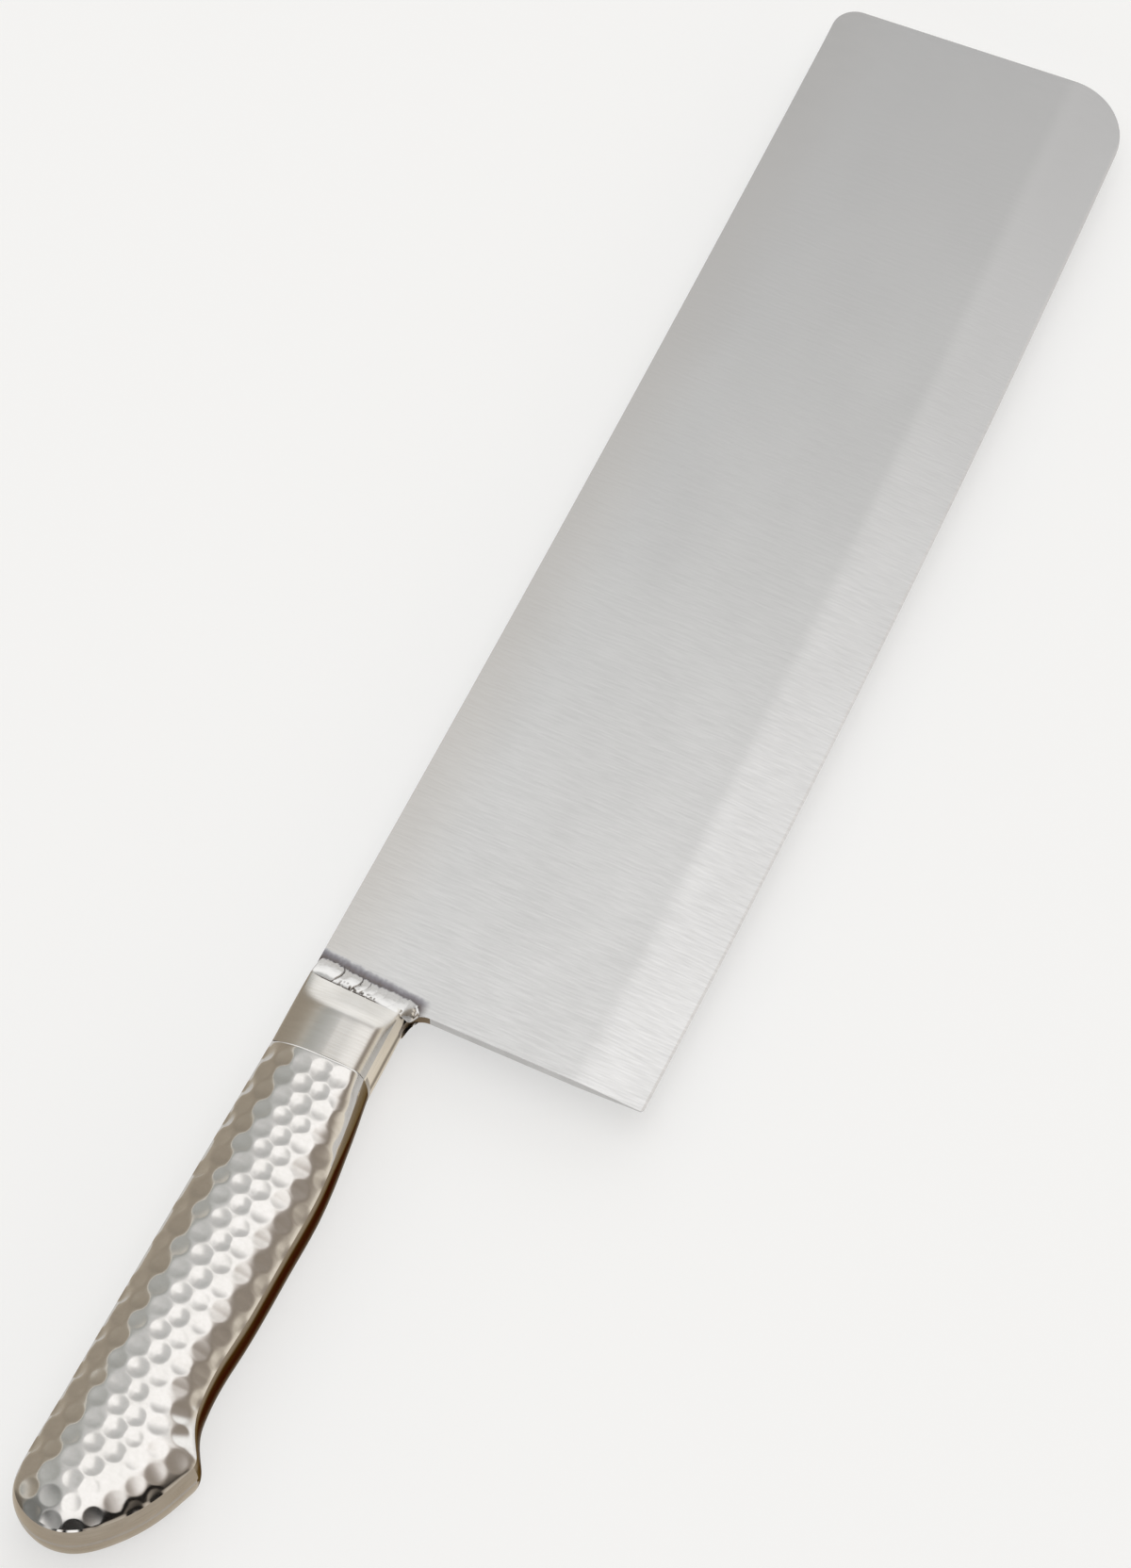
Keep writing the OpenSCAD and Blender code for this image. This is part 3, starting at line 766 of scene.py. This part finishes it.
def bladeBody():
    across = [(d, 1) for d in blade["heights"]] + [(d, -1) for d in reversed(blade["heights"])]

    def where(i, j):
        x = mix(*blade["blank"], i / blade["stations"])
        d, side = across[j % len(across)]
        return (x, edgeY(x) + d, side * bladeThickness(d))

    blank = weldUp(gridSkin("ground_blade", blade["stations"], len(across), where))
    outline = [Vector(p) for p in bladeOutline()]
    bpy.ops.mesh.primitive_circle_add(vertices=len(outline), fill_type="NGON", radius=1, location=(0, 0, 0))
    cutter = bpy.context.object
    for v, p in zip(cutter.data.vertices, outline):
        v.co = point(p.x, p.y, -blade["cutterHalf"])
    editStart(cutter)
    bpy.ops.mesh.select_all(action="SELECT")
    bpy.ops.mesh.extrude_region_move(TRANSFORM_OT_translate={"value": (0, 0, 2 * blade["cutterHalf"] * mm)})
    bpy.ops.mesh.select_all(action="SELECT")
    bpy.ops.mesh.normals_make_consistent(inside=False)
    editEnd()
    applied(blank, "BOOLEAN", operation="INTERSECT", object=cutter, solver="EXACT")
    bpy.data.objects.remove(cutter)
    return blank


choilLow = point(*blade["choilFrom"], 0)
choilHigh = point(blade["choilMargin"] - blade["heelBack"], blade["choilMargin"] - handle["jointDepth"], 0)


def inChoil(face):  # the blade's cut edge round the choil
    middle = face.calc_center_median()
    return (abs(face.normal.z) < 0.5 and choilLow.x < middle.x < choilHigh.x
            and choilLow.y < middle.y < choilHigh.y)


knifeBlade = smoothShade(bladeBody(), 5)
print("blade faces:", len(knifeBlade.data.polygons))
knifeBlade.data.materials.append(bladeSteel())
giveFinish(knifeBlade, satin("brownChoilSteel", blade["choilColour"], blade["choilDull"], blade["choilRoughness"],
                             blade["choilMarks"], blade["choilBump"]), inChoil)
finishPiece(knifeBlade, "blade")
print("blade made")

# places on the bead: depth in mm down from the spine, across from the toe (-1) to the back (1)
bead = {
    "toe": [(0, -1.5), (4, -1.7), (7, -2.2), (12, -2.5), (17, -2.6), (20, -2.7), (21.5, -3.2), (22.7, -4.4)],
    "back": [(0, -7.5), (8, -7.9), (15, -8.2), (18.5, -8.4), (20.2, -8.3), (21.2, -7.6), (22.0, -6.7), (22.7, -5.6)],
    "start": 0.15, "end": 22.6, "crown": 0.7, "startRound": 0.8, "endRound": 1.4,
    # the scales it froze in: where each begins, how high it stands, how they bow, rise and drop, and their oxide
    "coins": [0.1, 6.0, 10.0, 11.7, 13.4, 15.4, 18, 22.7], "coinHeights": [0.42, 0.4, 0.26, 0.1, 0.06, 0.08, 0.0],
    "bow": 1.3, "bowShift": 1.0, "coinRise": (-0.1, 0.5), "coinDrop": (0.93, 1.0), "coinOxide": 2.4,
    "waves": [(0.08, 0.45), (0.025, 1.4)], "stretch": 2.5,  # heights and counts per mm
    "pitAcross": (0.5, 0.8), "pitFrom": (5.5, 7.5), "pitTo": (13.5, 15.5), "pits": (1.7, 0.35), "pitDepth": 0.3,
    # oxide along the toe, along the back as far as it goes, and on the tail
    "toeOxide": (-0.84, -0.97), "backOxide": (0.84, 0.95), "backOxideTo": (14, 16.5), "tailFrom": (20.6, 21.6),
    "tailSpots": (1.3, 0.3), "oxideShares": (0.9, 0.8), "oxideBroken": (1.2, 0.4),
    "jagCount": 1.4, "jags": [(0.3, 1), (0.16, 3.3)], "toeSunk": 0.06, "backSunk": 0.08, "backDown": (19.9, 21.8),
    "columns": 240, "rows": 52, "under": 3, "underDepth": 0.3, "closing": 0.1,
    "colour": "#cbc9c7", "oxideColour": "#4b423d", "roughness": (0.17, 0.55), "speckle": (0.4, 0.4, 0.4),
    "bump": 0.008,
}


def beadSteel():  # weld metal as it froze: bright and rippled, with dark oxide in the folds
    material, tree, surface = bareMetal("weldMetal")
    oxide = addNode(tree, "Attribute", attribute_name="oxide").outputs["Fac"]
    speckle = grain(tree, bead["speckle"], 4.0, 0.7)
    depth, base = bead["oxideBroken"]
    broken = addNode(tree, "Math", {0: speckle, 1: depth, 2: base}, operation="MULTIPLY_ADD")
    dark = addNode(tree, "Math", {0: oxide, 1: broken.outputs[0]}, operation="MULTIPLY", use_clamp=True)
    colour = addNode(tree, "Mix", {0: dark.outputs[0], 6: linear(bead["colour"]), 7: linear(bead["oxideColour"])},
                     data_type="RGBA")
    bright, dull = bead["roughness"]
    rough = addNode(tree, "MapRange", {"Value": dark.outputs[0], "To Min": bright, "To Max": dull})
    relief = addNode(tree, "Bump", {"Strength": 1.0, "Distance": bead["bump"] * mm, "Height": speckle})
    linkSurface(tree, surface, colour, rough, relief)
    return material


def beadSpot(depth, across, seed):  # how a place on the bead stands out, and how much oxide it carries
    bowed = depth - bead["bow"] * (1 - across ** 2) + bead["bowShift"]
    lift, oxide = 0, 0
    for start, end, height in zip(bead["coins"], bead["coins"][1:], bead["coinHeights"]):
        if start <= bowed < end:
            share = (bowed - start) / (end - start)
            drop = softStep(share, *bead["coinDrop"])
            lift = height * (softStep(share, *bead["coinRise"]) - drop) * (1 - across ** 2)
            oxide = bead["coinOxide"] * height * drop
    rough = Vector((across * bead["stretch"], depth, seed))
    lift += sum(height * noise.noise(rough * count) for height, count in bead["waves"])
    pitted = (softStep(across, *bead["pitAcross"]) * softStep(depth, *bead["pitFrom"])
              * (1 - softStep(depth, *bead["pitTo"])))
    count, least = bead["pits"]
    pit = pitted * softStep(noise.noise(rough * count + Vector((0, 0, 5))), 0.0, least)
    edge = softStep(across, *bead["toeOxide"]) + softStep(across, *bead["backOxide"]) * (
        1 - softStep(depth, *bead["backOxideTo"]))
    count, least = bead["tailSpots"]
    tail = softStep(depth, *bead["tailFrom"]) * softStep(noise.noise(rough * count), 0.0, least)
    edgeShare, tailShare = bead["oxideShares"]
    return lift - bead["pitDepth"] * pit, clamp(oxide + pit + edgeShare * edge + tailShare * tail)


def weldBead(name, seed):
    columns, rows = bead["columns"], bead["rows"]
    top = rows - bead["under"]
    toeZ = knife["bladeHalf"] - bead["toeSunk"]
    oxides = {}

    def where(i, j):
        depth = mix(bead["start"], bead["end"], i / columns)
        jag = Vector((seed, depth * bead["jagCount"], 0))
        jagged = sum(width * noise.noise(jag * count) for width, count in bead["jags"])
        toe, back = readOff(bead["toe"], depth), readOff(bead["back"], depth)
        backZ = mix(shoulderHeight(back, -depth) - bead["backSunk"], toeZ, softStep(depth, *bead["backDown"]))
        k = math.sqrt(1 - (1 - clamp((depth - bead["start"]) / bead["startRound"])) ** 2)
        k *= math.sqrt(1 - (1 - clamp((bead["end"] - depth) / bead["endRound"])) ** 2)
        if j <= top:
            across = mix(-1, 1, j / top)
            stand, oxide = beadSpot(depth, across, seed)
            lift = bead["crown"] * (1 - across ** 2) ** 0.7 + stand * (1 - across ** 6)
            tilt = Vector((backZ - toeZ, toe - back)).normalized()
            x = mix(toe, back, j / top) + tilt.x * lift + jagged * (1 - j / top) ** 4
            z = mix(toeZ, backZ, j / top) + tilt.y * lift
        else:  # the underside, laid inside the blade and the bolster
            share = (j - top) / bead["under"]
            oxide = 1
            x = mix(back, toe + jagged, share)
            z = mix(backZ, toeZ, share) - bead["underDepth"] * math.sin(share * math.pi)
        oxides[i, j] = oxide
        return (mix((toe + back) / 2, x, k), -depth, mix(toeZ - bead["closing"], z, k))

    obj = gridSkin(name, columns, rows, where)
    values = obj.data.attributes.new("oxide", "FLOAT", "POINT").data
    for (i, j), oxide in oxides.items():
        values[j * (columns + 1) + i].value = oxide
    return smoothShade(weldUp(obj), 50)


beadMaterial = beadSteel()
beadRight = weldBead("weld_bead_right", 3.0)
beadRight.data.materials.append(beadMaterial)
beadCopy = weldBead("weld_bead_copy", 11.0)
beadCopy.data.materials.append(beadMaterial)
beadLeft = mirrored(beadCopy, "weld_bead_left")
bpy.data.objects.remove(beadCopy)
finishPiece(beadRight, "blade_weld_right")
finishPiece(beadLeft, "blade_weld_left")
print("weld beads made")

studio = {
    "floorSize": 12.0, "floorColour": "#fbfbfa", "floorGlow": 0.5, "level": 2.0,
    # light by its lean from straight up, in degrees towards the back (+) and the belly (-) of the knife
    "lean": [(-90, "#cdc8bc"), (-80, "#cac4b9"), (-70, "#bfb9ae"), (-60, "#a39c91"), (-50, "#857d74"),
             (-42, "#7c746b"), (-32, "#847d76"), (-26, "#99938d"), (-21, "#bcb8b5"), (-17, "#d6d4d2"),
             (-12, "#e4e3e2"), (-7, "#e8e8e8"), (14, "#e8e8e8"), (15.5, "#dededd"), (17, "#cacac9"),
             (18.5, "#bababa"), (20.5, "#b5b6b6"), (25, "#b3b4b4"), (32, "#a8aaa9"), (38, "#999b99"),
             (44.5, "#8b8d8a"), (45.7, "#c9c6bf"), (47, "#c9c6bf"), (48.2, "#8f887c"), (60, "#857d71"),
             (75, "#8a8276"), (90, "#989082")],
    # the same light moves round towards the butt's end and over the blade: where along X, and by how many degrees
    "leanShifts": [(0.3, -0.05, 8), (0.335, 0.39, 6.5)], "shiftSide": (40, 22),
    # where it falls off, and by what share: towards the blade's tip, and behind the butt
    "fallOffs": [(0.5, [("X", 0.36, 0.56, 0), ("lean", -26, -12, 0), ("lean", 14, 4, 0.3)]),
                 (0.55, [("X", -0.14, -0.3, 0), ("lean", 12, 24, 0)])],
    "card": "#dfe0e0", "cardFoot": (0.35, 0.78), "cardSide": (0.58, 0.72),
    # a dark stand beyond the butt, seen in its corner only
    "stand": [("Z", 0.84, 0.74), ("Z", 0.46, 0.54), ("X", 0.04, -0.1), ("Y", 0.3, 0.1)], "standLight": 0.05,
}


def makeFloor():
    bpy.ops.mesh.primitive_plane_add(size=studio["floorSize"], location=(0, 0, 0))
    floor = bpy.context.object
    floor.name = "floor"
    material = bpy.data.materials.new("paleFloor")
    material.use_nodes = True
    tree = material.node_tree
    tree.nodes.clear()
    paint = addNode(tree, "BsdfPrincipled", {"Base Color": linear(studio["floorColour"]), "Roughness": 0.9})
    glow = addNode(tree, "Emission", {"Color": linear("#ffffff"), "Strength": 1.0})
    path = addNode(tree, "LightPath")
    seen = addNode(tree, "Math", {0: path.outputs["Is Camera Ray"], 1: path.outputs["Is Glossy Ray"]}, operation="ADD")
    seen = addNode(tree, "Math", {0: seen.outputs[0], 1: path.outputs["Is Transmission Ray"]}, operation="ADD")
    share = addNode(tree, "Math", {0: seen.outputs[0], 1: studio["floorGlow"]}, operation="MULTIPLY")
    both = addNode(tree, "MixShader", {0: share.outputs[0], 1: paint.outputs[0], 2: glow.outputs[0]})
    addNode(tree, "OutputMaterial", {"Surface": both.outputs[0]})
    floor.data.materials.append(material)


def makeWorld():  # one long softbox overhead, a card at the tip's end, a thin strip light and a warm, darker room
    world = bpy.data.worlds.new("studio")
    bpy.context.scene.world = world
    world.use_nodes = True
    tree = world.node_tree
    tree.nodes.clear()
    axes = addNode(tree, "SeparateXYZ", {0: addNode(tree, "TexCoord").outputs["Generated"]})
    lean = addNode(tree, "Math", {0: axes.outputs["Y"], 1: axes.outputs["Z"]}, operation="ARCTAN2")
    shifted = lean.outputs[0]
    start, end = (math.radians(v) for v in studio["shiftSide"])
    low = addNode(tree, "MapRange", {"Value": lean.outputs[0], "From Min": start, "From Max": end})
    for start, end, turned in studio["leanShifts"]:
        shift = addNode(tree, "MapRange", {"Value": axes.outputs["X"], "From Min": start, "From Max": end,
                                           "To Max": math.radians(turned)})
        shifted = addNode(tree, "Math", {0: shift.outputs[0], 1: low.outputs[0], 2: shifted},
                          operation="MULTIPLY_ADD").outputs[0]
    share = addNode(tree, "MapRange", {"Value": shifted, "From Min": -math.pi / 2, "From Max": math.pi / 2})
    room = addNode(tree, "ValToRGB", {0: share.outputs["Result"]}, [(a / 180 + 0.5, c) for a, c in studio["lean"]])
    room = room.outputs[0]
    for faded, sides in studio["fallOffs"]:
        for axis, start, end, least in sides:
            value = lean.outputs[0] if axis == "lean" else axes.outputs[axis]
            start, end = (math.radians(v) if axis == "lean" else v for v in (start, end))
            side = addNode(tree, "MapRange", {"Value": value, "From Min": start, "From Max": end, "To Min": least})
            faded = addNode(tree, "Math", {0: faded, 1: side.outputs[0]}, operation="MULTIPLY").outputs[0]
        left = addNode(tree, "Math", {0: 1.0, 1: faded}, operation="SUBTRACT")
        room = addNode(tree, "VectorMath", {0: room, "Scale": left.outputs[0]}, operation="SCALE").outputs[0]
    footTop, footLight = studio["cardFoot"]
    foot = addNode(tree, "MapRange", {"Value": axes.outputs["Z"], "From Max": footTop, "To Min": footLight})
    white = addNode(tree, "VectorMath", {0: linear(studio["card"])[:3], "Scale": foot.outputs[0]}, operation="SCALE")
    start, end = studio["cardSide"]
    card = addNode(tree, "MapRange", {"Value": axes.outputs["X"], "From Min": start, "From Max": end},
                   **smoothly)
    room = addNode(tree, "Mix", {0: card.outputs[0], 6: room, 7: white.outputs[0]}, data_type="RGBA")
    stand = 1.0
    for axis, start, end in studio["stand"]:
        side = addNode(tree, "MapRange", {"Value": axes.outputs[axis], "From Min": start, "From Max": end},
                       **smoothly)
        stand = addNode(tree, "Math", {0: stand, 1: side.outputs[0]}, operation="MULTIPLY").outputs[0]
    dimmed = addNode(tree, "MapRange", {"Value": stand, "To Min": studio["level"], "To Max": studio["standLight"]})
    light = addNode(tree, "Background", {"Color": room.outputs[2], "Strength": dimmed.outputs[0]})
    addNode(tree, "OutputWorld", {"Surface": light.outputs[0]})


makeFloor()
makeWorld()

shot = {"azimuth": -64.674, "elevation": 62, "distance": 1.187, "lens": 140.6, "aim": (52.4, -26.0, 0)}
turn, lift = math.radians(shot["azimuth"]), math.radians(shot["elevation"])
back = Vector((math.sin(turn) * math.cos(lift), -math.cos(turn) * math.cos(lift), math.sin(lift)))
bpy.ops.object.camera_add(location=point(*shot["aim"]) + back * shot["distance"])
camera = bpy.context.object
camera.rotation_euler = (-back).to_track_quat("-Z", "Y").to_euler()
camera.data.lens = shot["lens"]
camera.data.sensor_width = 36
bpy.context.scene.camera = camera
bpy.context.scene.view_settings.view_transform = "Standard"
print("stage set")
